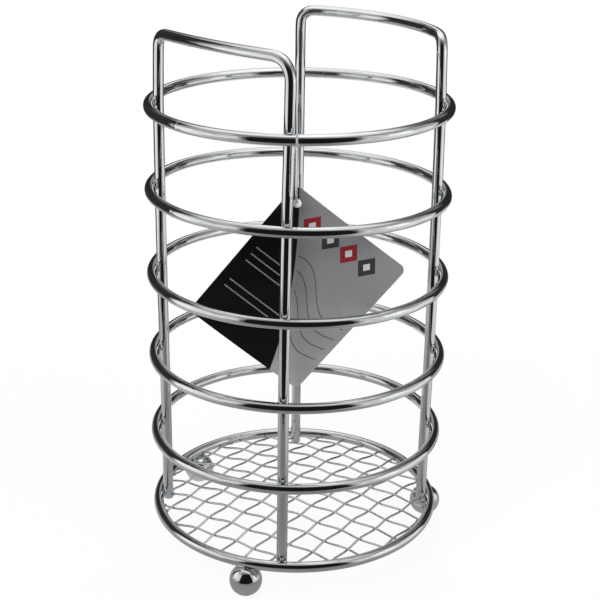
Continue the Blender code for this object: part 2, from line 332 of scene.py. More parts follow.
def addBead(shape, centre, size, turn, seed, lumps=0.05):
    # A small blob of weld metal: a sphere, stretched, lumpy, and turned about Z
    bead = bmesh.ops.create_icosphere(shape, subdivisions=3, radius=1.0)["verts"]
    for vert in bead:
        vert.co *= 1 + lumps * noise.noise(vert.co * lumpScale + Vector((seed, seed / 2, -seed)))
    rotation = Matrix.Rotation(math.radians(turn), 4, "Z")
    matrix = Matrix.Translation(centre) @ rotation @ Matrix.Diagonal((*size, 1))
    bmesh.ops.transform(shape, matrix=matrix, verts=bead)


# Hoops: one bent wire each, butt-welded at the front left. No bent wire is a perfect
# circle, so each wobbles a little, in and out and up and down.
hoop = {
    "sides": 24, "steps": 240,
    "seamBearings": (-50.0, -44.5, -41.0, -47.0, -52.0, -48.2),
    "seamSwell": 1.012, "seamLength": 0.0040, "seamLumps": 0.035,
    "wobble": 0.000035, "wobbleWaves": 3.8,
    "outwardSeed": 3.1, "upwardSeed": 1.7, "upwardShift": 5.0,
}
# How each real hoop strays from a true, level circle: how far it sits up, and more so
# at its right and at its back, how far to the right, and how much narrower and deeper
hoopStrays = {
    "base_hoop": (0.00010, -0.00010, 0.00025, 0.0, 0.00060, 0.00050),
    "hoop_2": (-0.00022, 0.00016, -0.00013, 0.00014, 0.00031, 0.00020),
    "hoop_3": (-0.00044, 0.00004, -0.00007, 0.00033, 0.0, 0.0),
    "hoop_4": (-0.00017, -0.00030, 0.00038, 0.00031, 0.0, 0.0),
    "hoop_5": (-0.00017, -0.00070, -0.00050, 0.00017, 0.00007, 0.0),
    "top_hoop": (0.0, 0.00020, 0.0, 0.00017, 0.00037, 0.0),
}


def strayRise(name, point):
    up, atRight, atBack = hoopStrays[name][:3]
    return up + (atRight * point.x + atBack * point.y) / hoopRadius


def strayed(name, point):
    # Where a point of the true circle goes in the real hoop
    right, narrower, deeper = hoopStrays[name][3:]
    return Vector((point.x * (1 - narrower / hoopRadius) + right,
                   point.y * (1 + deeper / hoopRadius),
                   point.z + strayRise(name, point)))


def hoopPlace(name, bearing):
    return strayed(name, onCircle(hoopRadius, bearing, hoopHeights[name]))


def makeHoop(name, seamBearing, seed):
    shape = bmesh.new()
    bmesh.ops.create_circle(shape, segments=hoop["sides"], radius=wireRadius)
    quarterTurn(shape, "X")
    bmesh.ops.translate(shape, verts=shape.verts, vec=(hoopRadius, 0, 0))
    bmesh.ops.spin(shape, geom=shape.edges[:], cent=(0, 0, 0), axis=(0, 0, 1), dvec=(0, 0, 0),
                   angle=math.radians(360), steps=hoop["steps"], use_merge=True)
    outwardSeed = Vector((0, 0, seed * hoop["outwardSeed"]))
    upwardSeed = Vector((seed * hoop["upwardSeed"], hoop["upwardShift"], 0))
    for vert in shape.verts:
        around = vert.co.normalized() * hoop["wobbleWaves"]
        outward = Vector((vert.co.x, vert.co.y, 0)).normalized()
        vert.co += outward * hoop["wobble"] * noise.noise(around + outwardSeed)
        vert.co.z += hoop["wobble"] * noise.noise(around + upwardSeed)
    swell = wireRadius * hoop["seamSwell"]
    addBead(shape, onCircle(hoopRadius, seamBearing), (swell, hoop["seamLength"], swell),
            seamBearing + 90, seed, lumps=hoop["seamLumps"])
    bmesh.ops.translate(shape, verts=shape.verts, vec=(0, 0, hoopHeights[name]))
    for vert in shape.verts:
        vert.co = strayed(name, vert.co)
    bmesh.ops.recalc_face_normals(shape, faces=shape.faces)
    return finishPiece(name + "_wire", shape, wireFinish, "holder", (name,))


for count, name in enumerate(hoopNames):
    makeHoop(name, hoop["seamBearings"][count], count)
print("hoops made")


# Uprights: two wires bent into a U turned over, welded inside the hoops. The bar is
# trimmed by so many bends' radii, to leave room for each corner.
upright = {
    "sides": 20, "spacing": 0.0007, "easePasses": 10, "endRounding": 0.0004,
    "legSteps": 16, "barTrim": 1.6, "weld": (0.0007, 0.00115, 0.0013), "weldShare": 0.48,
    "levelSeed": 1.37, "legSeed": 9.1,
}
# Circles are the legs' distances from the axis at each hoop and at the top, and sways
# are how far they stand to the side there
legs = {
    "left": {"bearing": -90.0, "height": 0.1854, "lean": 0.0, "bend": 0.0045,
             "circles": (0.05085, 0.05086, 0.0511, 0.0513, 0.0513, 0.0512, 0.0507),
             "sways": (0, 0, 0, 0, 0, 0, 0)},
    "front": {"bearing": -4.8, "height": 0.1866, "lean": 0.0015, "bend": 0.0070,
              "circles": (0.0517, 0.0514, 0.0512, 0.0512, 0.0512, 0.0512, 0.0507),
              "sways": (0, -0.0002, -0.00045, -0.0005, -0.0004, 0, 0)},
    "right": {"bearing": 90.0, "height": 0.1852, "lean": 0.0, "bend": 0.0040,
              "circles": (0.0511, 0.0513, 0.0517, 0.0518, 0.0518, 0.0516, 0.0511),
              "sways": (0, 0, 0, 0, 0, 0, 0)},
    "back": {"bearing": 179.7, "height": 0.1861, "lean": 0.0, "bend": 0.0045,
             "circles": (0.0517, 0.0514, 0.0512, 0.0512, 0.0512, 0.0512, 0.0507),
             "sways": (0, 0, 0, 0, 0, 0, 0)},
}
uprights = {
    "left_upright_frame": {"legs": ("left", "front"), "bow": 0.0028},
    "right_upright_frame": {"legs": ("right", "back"), "bow": 0.0120},
}


def legPoint(leg, level):
    # Where the leg's centre line passes a hoop, counted from the base, or its top
    height = (*hoopHeights.values(), leg["height"])[level]
    sideways = onCircle(leg["sways"][level], leg["bearing"] + 90)
    lean = Vector((leg["lean"] * height / leg["height"], 0, 0))
    return onCircle(leg["circles"][level], leg["bearing"], height) + sideways + lean


def barPoints(start, end, bow, steps=60):
    chord = end - start
    half = chord.length / 2
    radius = (half ** 2 + bow ** 2) / (2 * bow)
    middle = (start + end) / 2
    outward = Vector((middle.x, middle.y, 0)).normalized()
    along = chord.normalized()
    reach = math.asin(half / radius)
    bar = []
    for step in range(steps + 1):
        turn = reach * (2 * step / steps - 1)
        lift = radius * math.cos(turn) - radius + bow
        bar.append(middle + along * (radius * math.sin(turn)) + outward * lift)
    return bar


def cornerPoints(top, towards, radius, steps=12):
    along = (towards - top).normalized()
    centre = top + (along - Vector((0, 0, 1))) * radius
    corner = []
    for step in range(steps + 1):
        turn = math.radians(90) * step / steps
        corner.append(centre + radius * (Vector((0, 0, math.sin(turn))) - along * math.cos(turn)))
    return corner


def legRoute(leg):
    # Up through every hoop, from just below the base
    knots = [legPoint(leg, level) for level in range(len(hoopNames))]
    return [knots[0] - Vector((0, 0, wireRadius)), *smoothPath(knots, upright["legSteps"])]


def makeUpright(name):
    first, second = (legs[key] for key in uprights[name]["legs"])
    firstTop = legPoint(first, len(hoopNames))
    secondTop = legPoint(second, len(hoopNames))
    bar = barPoints(firstTop, secondTop, uprights[name]["bow"])
    inner = [point for point in bar
             if (point - firstTop).length > first["bend"] * upright["barTrim"]
             and (point - secondTop).length > second["bend"] * upright["barTrim"]]
    route = legRoute(first) + cornerPoints(firstTop, inner[0], first["bend"]) + inner
    route += list(reversed(legRoute(second) + cornerPoints(secondTop, inner[-1], second["bend"])))
    route = easeRoute(evenPoints(route, upright["spacing"]), upright["easePasses"])
    shape = tubeShape(route, wireRadius, upright["sides"])
    roundEnds(shape, upright["endRounding"])
    return finishPiece(name + "_wire", shape, wireFinish, "holder", (name,))


def makeUprightWelds(name):
    # A flattened bead where each leg meets each hoop
    shape = bmesh.new()
    for count, key in enumerate(uprights[name]["legs"]):
        leg = legs[key]
        for level, hoopName in enumerate(hoopNames):
            legCentre = legPoint(leg, level)
            hoopCentre = hoopPlace(hoopName, leg["bearing"])
            turn = math.degrees(math.atan2(legCentre.y, legCentre.x))
            seed = level * upright["levelSeed"] + count * upright["legSeed"]
            centre = legCentre.lerp(hoopCentre, upright["weldShare"])
            addBead(shape, centre, upright["weld"], turn, seed)
    return finishPiece(name.replace("frame", "welds"), shape, weldFinish, "holder")


for name in uprights:
    makeUpright(name)
    makeUprightWelds(name)
print("uprights made")


# Ball feet, welded under the base hoop
foot = {
    "radius": 0.0061, "drop": 0.0076, "segments": 72, "rings": 48,
    "bearings": {"front_foot": -18.7, "right_foot": 101.6, "back_foot": -131.8},
    "groundRounding": 0.0002,
    "collar": (0.0013, 0.0021, 0.0009), "collarDrop": 0.0020, "collarSeed": 20.0,
}


def makeFoot(name, bearing):
    shape = bmesh.new()
    bmesh.ops.create_uvsphere(shape, u_segments=foot["segments"], v_segments=foot["rings"],
                              radius=foot["radius"])
    bmesh.ops.translate(shape, verts=shape.verts, vec=onCircle(hoopRadius, bearing, -foot["drop"]))
    ground = bmesh.ops.bisect_plane(shape, geom=everything(shape), plane_co=(0, 0, -holderAxis.z),
                                    plane_no=(0, 0, 1), clear_inner=True)
    rim = [edge for edge in ground["geom_cut"] if isinstance(edge, bmesh.types.BMEdge)]
    bmesh.ops.edgeloop_fill(shape, edges=rim)
    bmesh.ops.bevel(shape, geom=rim, offset=foot["groundRounding"], segments=2, profile=0.5,
                    affect="EDGES", material=-1)
    bmesh.ops.recalc_face_normals(shape, faces=shape.faces)
    return finishPiece(name + "_ball", shape, ballFinish, "holder", (name,))


def makeFootWelds():
    shape = bmesh.new()
    for count, bearing in enumerate(foot["bearings"].values()):
        centre = hoopPlace("base_hoop", bearing) - Vector((0, 0, foot["collarDrop"]))
        addBead(shape, centre, foot["collar"], bearing, foot["collarSeed"] + count)
    return finishPiece("foot_welds", shape, weldFinish, "holder")


for name, bearing in foot["bearings"].items():
    makeFoot(name, bearing)
makeFootWelds()
print("feet made")


# Woven floor: two sets of crimped wires that pass over and under each other
weave = {
    "radius": 0.00043, "sides": 10, "stepsPerCell": 12,
    "directions": {"mesh_across": -31.5, "mesh_along": 53.0},
    "cellsAcross": 11.52, "crossingShares": (-0.284, 0.317),
    "crown": 0.0037, "rimGap": 0.0003, "rimDrop": 0.0008, "crimp": 0.96,
    "wander": 0.00012, "wanderScale": 55.0, "wanderSeed": 2.3,
    "bite": 0.00025, "walk": 0.0001,
    "endBead": 0.00075, "endBeadForm": (1.0, 1.15, 0.85), "endBeadLumps": 0.15, "endBeadSeed": 0.73,
}
weavePitch = 2 * (hoopRadius - wireRadius - weave["rimGap"]) / weave["cellsAcross"]
weaveOrigin = Vector((*weave["crossingShares"], 0)) * weavePitch
footCentres = [onCircle(hoopRadius, bearing, -foot["drop"])
               for bearing in foot["bearings"].values()]


def floorHeight(point):
    share = (point.x ** 2 + point.y ** 2) / hoopRadius ** 2
    return weave["crown"] * (1 - share) - weave["rimDrop"] + strayRise("base_hoop", point)


def gapAround(point):
    # How far the point is from the metal that the floor's wires end at
    right, narrower, deeper = hoopStrays["base_hoop"][3:]
    fromAxis = math.hypot((point.x - right) / (1 - narrower / hoopRadius),
                          point.y / (1 + deeper / hoopRadius))
    aboveHoop = point.z - strayRise("base_hoop", point)
    gaps = [math.hypot(hoopRadius - fromAxis, aboveHoop) - wireRadius]
    for leg in legs.values():
        place = legPoint(leg, 0)
        gaps.append(math.hypot(point.x - place.x, point.y - place.y) - wireRadius)
    gaps += [(point - centre).length - foot["radius"] for centre in footCentres]
    return min(gaps)


def floorWireRoute(name, family):
    otherFamily = "mesh_along" if family == "mesh_across" else "mesh_across"
    direction = levelDirection(weave["directions"][family])
    other = levelDirection(weave["directions"][otherFamily])
    low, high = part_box(name)
    middle = (low + high) / 2 - holderAxis
    offset = middle - weaveOrigin
    line = round(direction.cross(offset).z / direction.cross(other).z / weavePitch)
    start = weaveOrigin + other * (weavePitch * line)
    side = 1 if (family == "mesh_across") == (line % 2 == 0) else -1
    seed = Vector((0, 0, line * weave["wanderSeed"] + len(family)))

    def place(distance):
        point = start + direction * distance
        wander = noise.noise(point * weave["wanderScale"] + seed)
        point += direction.cross(Vector((0, 0, 1))) * weave["wander"] * wander
        crimp = weave["radius"] * weave["crimp"] * math.cos(math.pi * distance / weavePitch)
        return Vector((point.x, point.y, floorHeight(point) + side * crimp))

    centre = direction.dot(middle - start)
    reach = weave["radius"] - weave["bite"]
    ends = []
    for way in (-1, 1):
        distance = centre
        while gapAround(place(distance)) > reach:
            distance += way * weave["walk"]
        ends.append(distance)
    count = max(4, round((ends[1] - ends[0]) / weavePitch * weave["stepsPerCell"]))
    return [place(ends[0] + (ends[1] - ends[0]) * step / count) for step in range(count + 1)]


def makeFloor():
    beads = bmesh.new()
    beadSize = [weave["endBead"] * share for share in weave["endBeadForm"]]
    names = sorted(name for name in frame["nodes"] if name.startswith("mesh_"))
    for count, name in enumerate(names):
        route = floorWireRoute(name, name.rsplit("_", 1)[0])
        shape = tubeShape(route, weave["radius"], weave["sides"])
        finishPiece(name + "_wire", shape, floorFinish, "holder", (name,))
        for end in (route[0], route[-1]):
            turn = math.degrees(math.atan2(end.y, end.x))
            addBead(beads, end, beadSize, turn, count * weave["endBeadSeed"],
                    lumps=weave["endBeadLumps"])
    finishPiece("floor_welds", beads, weldFinish, "holder")


makeFloor()
print("floor made")


# Hang tag: a stiff card with a punched corner, printed on its front
card = {
    "shortSide": 0.0488, "longSide": 0.0620, "thickness": 0.00042,
    "cornerRadius": 0.0025, "cornerSegments": 8,
    "yaw": -4.42, "lean": 4.67, "turn": 37.8,
    "holeRadius": 0.0011, "holeInset": 0.0047, "holeSegments": 40,
    "hangInset": 0.0054, "hangRise": 0.00136, "hangSide": 0.00034,
    "bow": 0.0005, "stripWidth": 0.003, "cutTolerance": 0.000001, "sharpAngle": 30,
    "backShift": 2.0,
}
cardLean = math.radians(card["lean"])
cardRight = levelDirection(card["yaw"])
cardLevel = cardRight.cross(Vector((0, 0, 1)))
cardUp = Vector((0, 0, math.cos(cardLean))) + cardLevel * math.sin(cardLean)
cardFront = cardRight.cross(cardUp)
cardTurn = math.radians(card["turn"])
shortWay = cardRight * math.cos(cardTurn) - cardUp * math.sin(cardTurn)
longWay = -cardRight * math.sin(cardTurn) - cardUp * math.cos(cardTurn)


def makeCard(material):
    # Modelled flat, with its short side along X and its long side along Y, cut into
    # small fields so that it can bow, then bowed and hung by its hole
    shape = bmesh.new()
    width, height = card["shortSide"], card["longSide"]
    corners = [shape.verts.new(place) for place in (
        (0, 0, 0), (width, 0, 0), (width, height, 0), (0, height, 0))]
    shape.faces.new(corners)
    bmesh.ops.bevel(shape, geom=corners, offset=card["cornerRadius"],
                    segments=card["cornerSegments"], profile=0.5, affect="VERTICES", material=-1)
    bmesh.ops.delete(shape, geom=shape.faces[:], context="FACES_ONLY")
    hole = bmesh.ops.create_circle(shape, segments=card["holeSegments"],
                                   radius=card["holeRadius"])["verts"]
    bmesh.ops.translate(shape, verts=hole, vec=(card["holeInset"], card["holeInset"], 0))
    bmesh.ops.triangle_fill(shape, edges=shape.edges[:], use_beauty=True, use_dissolve=True)
    for facing, length in ((Vector((1, 0, 0)), width), (Vector((0, 1, 0)), height)):
        for step in range(1, math.ceil(length / card["stripWidth"])):
            bmesh.ops.bisect_plane(shape, geom=everything(shape), dist=card["cutTolerance"],
                                   plane_co=facing * (step * card["stripWidth"]), plane_no=facing)
    front = shape.faces[:]
    for face in front:
        face.normal_update()
    if front[0].normal.z < 0:
        bmesh.ops.reverse_faces(shape, faces=front)
    bmesh.ops.solidify(shape, geom=front, thickness=card["thickness"])
    bmesh.ops.recalc_face_normals(shape, faces=shape.faces)
    middle = sum(vert.co.z for vert in shape.verts) / len(shape.verts)
    bmesh.ops.translate(shape, verts=shape.verts, vec=(0, 0, -middle))
    flat = shape.loops.layers.uv.new("flat")
    shape.normal_update()
    for face in shape.faces:
        # The back lies beyond the printed part of the map, so it stays plain
        aside = card["backShift"] if face.normal.z < -0.5 else 0.0
        for corner in face.loops:
            place = corner.vert.co
            corner[flat].uv = (place.x / height + aside, place.y / height)
    hung = Vector((card["hangInset"], card["hangInset"], 0))
    hangFrom = hangPoint - cardUp * card["hangRise"] + cardRight * card["hangSide"]
    for vert in shape.verts:
        across = (vert.co.x / width - 0.5) * 2
        place = vert.co - hung
        place.z += card["bow"] * (1 - across ** 2)
        vert.co = hangFrom + shortWay * place.x + longWay * place.y + cardFront * place.z
    if shape.calc_volume(signed=True) < 0:
        bmesh.ops.reverse_faces(shape, faces=shape.faces)
    return finishPiece("tag_card_print", shape, material, "card", ("tag_card",),
                       sharpAngle=card["sharpAngle"])


# The print, measured in millimetres along the card's short and long sides: across and
# down from the punched corner
cardPrint = {
    "silverDark": (0.178, 0.183, 0.186, 1), "silverLight": (0.320, 0.327, 0.332, 1),
    "black": (0.0030, 0.0030, 0.0032, 1), "rule": (0.16, 0.165, 0.17, 1),
    "heart": (0.42, 0.43, 0.44, 1), "line": (0.030, 0.030, 0.033, 1),
    "red": (0.20, 0.010, 0.016, 1),
    # The black field's edge is a curve: how far across it is, by how far down
    "edge": {"start": 1.5, "slope": 0.78, "bend": -0.0035},
    # The silver gets lighter away from the corner, by a share for each millimetre
    "sheen": {"down": 0.0105, "across": 0.0072, "range": (0.48, 1.0),
              "cloudScale": 45.0, "cloudDetail": 3.0, "cloudShare": 0.5},
    "waves": {"turn": 0.21, "height": 3.4, "slope": -0.42, "first": 9.0, "gap": 2.6, "half": 0.17,
              "start": 10.0, "end": 32.0, "margin": 1.2, "right": 46.5},
    # The shift is where the row starts and 25 pairs of lozenges more, so that their
    # count stays above nought
    "lozenges": {"pitch": 8.0, "shift": 398.4, "down": 8.2, "squash": 0.80, "half": 3.8,
                 "heartHalf": 1.5, "middle": 25.6, "reach": 16.0},
    "rules": {"first": 27.0, "gap": 1.55, "half": 0.24, "groups": (30.1, 43.9), "reach": 3.6,
              "left": 3.6, "margin": -3.6, "ragTurn": 1.9, "ragHeight": 2.4},
    "paper": {"specular": 0.3, "fibreScale": 2600.0, "fibreDetail": 3.0, "fibreRange": (0.3, 0.7),
              "roughness": (0.30, 0.42), "bumpDepth": 0.000004},
}


def makeCardPrint():
    material, tree, shader = newMaterial("tag_card_print")
    uv = addNode(tree, "ShaderNodeUVMap", uv_map="flat")
    flatAxes = splitAxes(tree, uv.outputs[0])
    place = objectPlace(tree)

    def work(operation, *values):
        return calc(tree, operation, *values)

    def allOf(*masks):
        result = masks[0]
        for mask in masks[1:]:
            result = work("MULTIPLY", result, mask)
        return result

    def near(value, target, half):
        return work("LESS_THAN", work("ABSOLUTE", work("SUBTRACT", value, target)), half)

    across = work("MULTIPLY", flatAxes[0], card["longSide"] / millimetre)
    down = work("MULTIPLY", flatAxes[1], card["longSide"] / millimetre)

    # Where the black field ends
    edge = cardPrint["edge"]
    bend = work("MULTIPLY", work("POWER", down, 2.0), edge["bend"])
    fieldEdge = work("ADD", work("MULTIPLY_ADD", down, edge["slope"], edge["start"]), bend)
    fromEdge = work("SUBTRACT", across, fieldEdge)
    onBlack = work("LESS_THAN", fromEdge, 0.0)
    onSilver = work("SUBTRACT", 1.0, onBlack)

    # Silver field: a soft sheen from the corner, with a faint cloud
    sheen = cardPrint["sheen"]
    cloud = noiseValue(tree, place, sheen["cloudScale"], detail=sheen["cloudDetail"])
    clouds = work("MULTIPLY_ADD", cloud, sheen["cloudShare"], -sheen["cloudShare"] / 2)
    depth = work("MULTIPLY_ADD", down, sheen["down"], work("MULTIPLY", across, sheen["across"]))
    shine = mapRange(tree, work("ADD", depth, clouds), *sheen["range"])
    silver = mixColour(tree, shine, cardPrint["silverDark"], cardPrint["silverLight"])

    # Wave motif: fine dark lines that roll across the silver field
    waves = cardPrint["waves"]
    roll = work("MULTIPLY", work("SINE", work("MULTIPLY", across, waves["turn"])), waves["height"])
    wave = work("ADD", work("SUBTRACT", down, roll), work("MULTIPLY", across, waves["slope"]))
    lane = work("PINGPONG", work("SUBTRACT", wave, waves["first"]), waves["gap"])
    waveLines = allOf(
        onSilver, work("LESS_THAN", lane, waves["half"]),
        work("GREATER_THAN", wave, waves["start"]), work("LESS_THAN", wave, waves["end"]),
        work("GREATER_THAN", fromEdge, waves["margin"]), work("LESS_THAN", across, waves["right"]))
    colour = mixColour(tree, waveLines, silver, cardPrint["line"])

    # A row of small lozenges, red and dark in turn, each with a light heart
    row = cardPrint["lozenges"]
    shifted = work("ADD", across, row["shift"])
    cell = work("SUBTRACT", work("MODULO", shifted, row["pitch"]), row["pitch"] / 2)
    fromRow = work("ABSOLUTE", work("SUBTRACT", down, row["down"]))
    diamond = work("MULTIPLY_ADD", fromRow, row["squash"], work("ABSOLUTE", cell))
    onRow = allOf(onSilver, near(across, row["middle"], row["reach"]))
    lozenges = allOf(onRow, work("LESS_THAN", diamond, row["half"]))
    hearts = allOf(onRow, work("LESS_THAN", diamond, row["heartHalf"]))
    count = work("FLOOR", work("DIVIDE", shifted, row["pitch"]))
    isRed = work("GREATER_THAN", work("MODULO", count, 2.0), 0.5)
    lozengeColour = mixColour(tree, isRed, cardPrint["line"], cardPrint["red"])
    colour = mixColour(tree, lozenges, colour, lozengeColour)
    colour = mixColour(tree, hearts, colour, cardPrint["heart"])

    # Black field with two groups of fine rules, which end raggedly
    rules = cardPrint["rules"]
    ruleLane = work("PINGPONG", work("SUBTRACT", down, rules["first"]), rules["gap"])
    groups = work("MAXIMUM", *(near(down, middle, rules["reach"]) for middle in rules["groups"]))
    ragWave = work("SINE", work("MULTIPLY", down, rules["ragTurn"]))
    rag = work("MULTIPLY", ragWave, rules["ragHeight"])
    ruleLines = allOf(
        onBlack, groups, work("LESS_THAN", ruleLane, rules["half"]),
        work("GREATER_THAN", across, rules["left"]),
        work("LESS_THAN", work("ADD", fromEdge, rag), rules["margin"]))
    dark = mixColour(tree, ruleLines, cardPrint["black"], cardPrint["rule"])
    colour = mixColour(tree, onBlack, colour, dark)

    paper = cardPrint["paper"]
    fibre = noiseValue(tree, place, paper["fibreScale"], detail=paper["fibreDetail"])
    roughness = mapRange(tree, fibre, *paper["fibreRange"], *paper["roughness"])
    feed(tree, shader.inputs["Base Color"], colour)
    feed(tree, shader.inputs["Roughness"], roughness)
    shader.inputs["Specular IOR Level"].default_value = paper["specular"]
    bump = addBump(tree, fibre, paper["bumpDepth"])
    tree.links.new(bump.outputs[0], shader.inputs["Normal"])
    return material


makeCard(makeCardPrint())
print("card made")


# Nylon loop: a moulded strand over the top hoop and through the card, locked by a ball
loop = {
    "strandRadius": 0.00040, "lockRadius": 0.00155, "lockStandoff": 0.0026, "lockRise": 0.0004,
    "lockSegments": 32, "lockRings": 20, "clearance": 0.0001, "swell": 0.0008, "kneeDrop": 0.0190,
    "wrapSteps": 8, "steps": 8, "sides": 12,
}
# The strand is clear and the thick ball is milky. The change is between two distances
# from the ball's centre, in the ball's radii.
nylon = {
    "cloudScale": 900.0, "cloudDetail": 3.0, "cloudRange": (0.3, 0.7), "roughness": (0.22, 0.38),
    "colours": ((0.78, 0.79, 0.80, 1), (0.86, 0.87, 0.88, 1)),
    "clearRadii": (1.05, 1.4), "clearness": (0.06, 0.92), "index": 1.53, "bumpDepth": 0.00001,
}
lockCentre = hangPoint + cardFront * loop["lockStandoff"] + cardUp * loop["lockRise"]


def loopRoute():
    # From the lock up the outside of the top hoop, over it, down behind the card and
    # forward through its hole to the lock again
    side = (legPoint(legs["front"], len(hoopNames) - 1).x
            + wireRadius + loop["clearance"] + loop["strandRadius"])
    wrap = wireRadius + loop["clearance"] + loop["strandRadius"]
    behind = card["thickness"] / 2 + loop["clearance"] + loop["strandRadius"]
    cornerCut = card["cornerRadius"] * (math.sqrt(2) - 1)
    cornerReach = card["hangInset"] * math.sqrt(2) - cornerCut - card["hangRise"]
    hang = hangPoint - loopPivot
    lock = lockCentre - loopPivot
    knee = Vector((side, -wrap + loop["swell"], -loop["kneeDrop"]))
    swell = Vector((side, -wrap - loop["swell"], -loop["kneeDrop"] / 2))
    route = [lock + (knee - lock).normalized() * loop["lockRadius"] / 2,
             (lock + knee) / 2, knee, swell]
    for step in range(loop["wrapSteps"] + 1):
        angle = math.radians(180) * step / loop["wrapSteps"]
        route.append(Vector((side, -wrap * math.cos(angle), wrap * math.sin(angle))))
    above = hang + cardUp * (cornerReach + 2 * loop["strandRadius"] + loop["clearance"])
    route += [
        (route[-1] + above) / 2 + Vector((0, -loop["swell"], 0)),
        above,
        hang + cardUp * cornerReach - cardFront * behind,
        hang + cardUp * behind - cardFront * behind,
        hang + cardFront * behind / 2,
        lock - (lock - hang).normalized() * loop["lockRadius"] / 2,
    ]
    return [point + loopPivot for point in smoothPath(route, loop["steps"])]


def makeNylon():
    material, tree, shader = newMaterial("clear_nylon")
    place = objectPlace(tree)
    cloud = noiseValue(tree, place, nylon["cloudScale"], detail=nylon["cloudDetail"])
    fromLock = distanceFrom(tree, place, holderAxis + lockCentre)
    clear = fade(tree, fromLock, *(loop["lockRadius"] * radii for radii in nylon["clearRadii"]))
    feed(tree, shader.inputs["Base Color"], mixColour(tree, cloud, *nylon["colours"]))
    feed(tree, shader.inputs["Roughness"],
         mapRange(tree, cloud, *nylon["cloudRange"], *nylon["roughness"]))
    feed(tree, shader.inputs["Transmission Weight"],
         mapRange(tree, clear, 0.0, 1.0, *nylon["clearness"]))
    shader.inputs["IOR"].default_value = nylon["index"]
    bump = addBump(tree, cloud, nylon["bumpDepth"])
    tree.links.new(bump.outputs[0], shader.inputs["Normal"])
    return material


def makeLoop():
    shape = tubeShape(loopRoute(), loop["strandRadius"], loop["sides"])
    ball = bmesh.ops.create_uvsphere(shape, u_segments=loop["lockSegments"],
                                     v_segments=loop["lockRings"], radius=loop["lockRadius"])
    bmesh.ops.translate(shape, verts=ball["verts"], vec=lockCentre)
    return finishPiece("tag_loop_nylon", shape, makeNylon(), "loop", ("tag_loop",))


makeLoop()
print("loop made")


# Light tent: white cloths at the left and the right and overhead, a grey bench top, the
# dark room at the front and in the rear corners, and a gap at the rear, above gapLow,
# for the white background. They show in the chrome, and the camera doesn't see them.
tent = {
    "left": -0.24, "right": 0.38, "front": -0.20, "rear": 0.38, "bench": -0.0002, "top": 0.43,
    "gap": 0.035, "gapLow": 0.30,
}
# Each cloth has a dull level and glows: a strength, then fades along an axis from
# nothing to full. Side is the distance from the middle, to the left or the right, and
# round is the distance from a point.
cloths = {
    "left": {"dull": 0.03, "creases": 0.28, "glows": (
        (0.40, ("y", 0.035, -0.01)),
        (0.56, ("y", 0.035, -0.01), ("z", 0.0, 0.07), ("z", 0.28, 0.15)),
        (0.30, ("y", 0.10, 0.05), ("z", 0.34, 0.41)),
        (0.16, ("y", 0.01, 0.08), ("z", 0.10, 0.0)))},
    "right": {"dull": 0.03, "creases": 0.28, "glows": (
        (0.34, ("y", 0.17, 0.13)),
        (0.50, ("y", 0.17, 0.13), ("z", 0.24, 0.14)),
        (0.68, ("y", -0.03, -0.08), ("z", 0.12, 0.16), ("z", 0.34, 0.24)),
        (0.18, ("y", 0.13, 0.17), ("z", 0.09, 0.0)))},
    "roof": {"dull": 0.10, "creases": 0.15, "glows": (
        (0.20, ("y", 0.22, 0.0)),
        (0.88, ("round", 0.31, 0.07, (-0.06, 0.11, 0.43))),
        (0.55, ("round", 0.24, 0.06, (0.13, -0.03, 0.43))),
        (0.50, ("side", 0.09, 0.02), ("y", 0.16, 0.24)))},
    "bench": {"dull": 0.20, "creases": 0.06, "glows": (
        (0.16, ("y", -0.17, 0.02)),
        (0.28, ("side", 0.04, 0.22)),
        (0.16, ("x", 0.06, 0.12), ("y", 0.06, 0.0)),
        (0.18, ("x", 0.20, 0.34)),
        # The two negative strengths paint shade on the bench, left and right of its middle and
        # behind the holder
        (-0.18, ("x", 0.055, 0.08), ("y", 0.02, 0.07), ("x", 0.30, 0.18)),
        (-0.15, ("x", -0.055, -0.09), ("y", 0.01, 0.07)),
        (0.25, ("round", 0.07, 0.02, (-0.07, 0.05, 0.0))),
        (0.55, ("x", 0.05, 0.01), ("x", -0.10, -0.04), ("y", 0.05, 0.14), ("y", 0.30, 0.20)))},
    "mouth": {"dull": 0.010, "creases": 0.30, "glows": (
        (0.75, ("x", -0.13, -0.18), ("z", 0.0, 0.08), ("z", 0.38, 0.22)),
        (0.72, ("x", 0.14, 0.21), ("z", 0.42, 0.22)),
        (0.24, ("z", 0.26, 0.42)))},
    "rear": {"dull": 0.025, "creases": 0.30, "glows": (
        (0.36, ("side", 0.10, 0.04)),
        (0.22, ("z", 0.30, 0.42)),
        (0.12, ("z", 0.06, 0.0)))},
}


# Creases make brighter and duller patches in each cloth
crease = {
    "noise": {"scale": 11.0, "detail": 5.0, "roughness": 0.62, "distortion": 1.2},
    "range": (0.34, 0.62), "seed": 3.0,
}


def stagePiece(name, shape, material, **visibility):
    piece = addPiece(name, shape, material)
    for key, value in visibility.items():
        setattr(piece, key, value)
    return piece


def panelShape(low, high):
    # A flat panel that fills the box between two corners, thin in one direction
    shape = bmesh.new()
    bmesh.ops.create_grid(shape, x_segments=1, y_segments=1, size=0.5)
    size = Vector(high) - Vector(low)
    if size.x == 0:
        quarterTurn(shape, "Y")
    if size.y == 0:
        quarterTurn(shape, "X")
    bmesh.ops.scale(shape, verts=shape.verts, vec=[length or 1.0 for length in size])
    bmesh.ops.translate(shape, verts=shape.verts, vec=(Vector(low) + Vector(high)) / 2)
    return shape


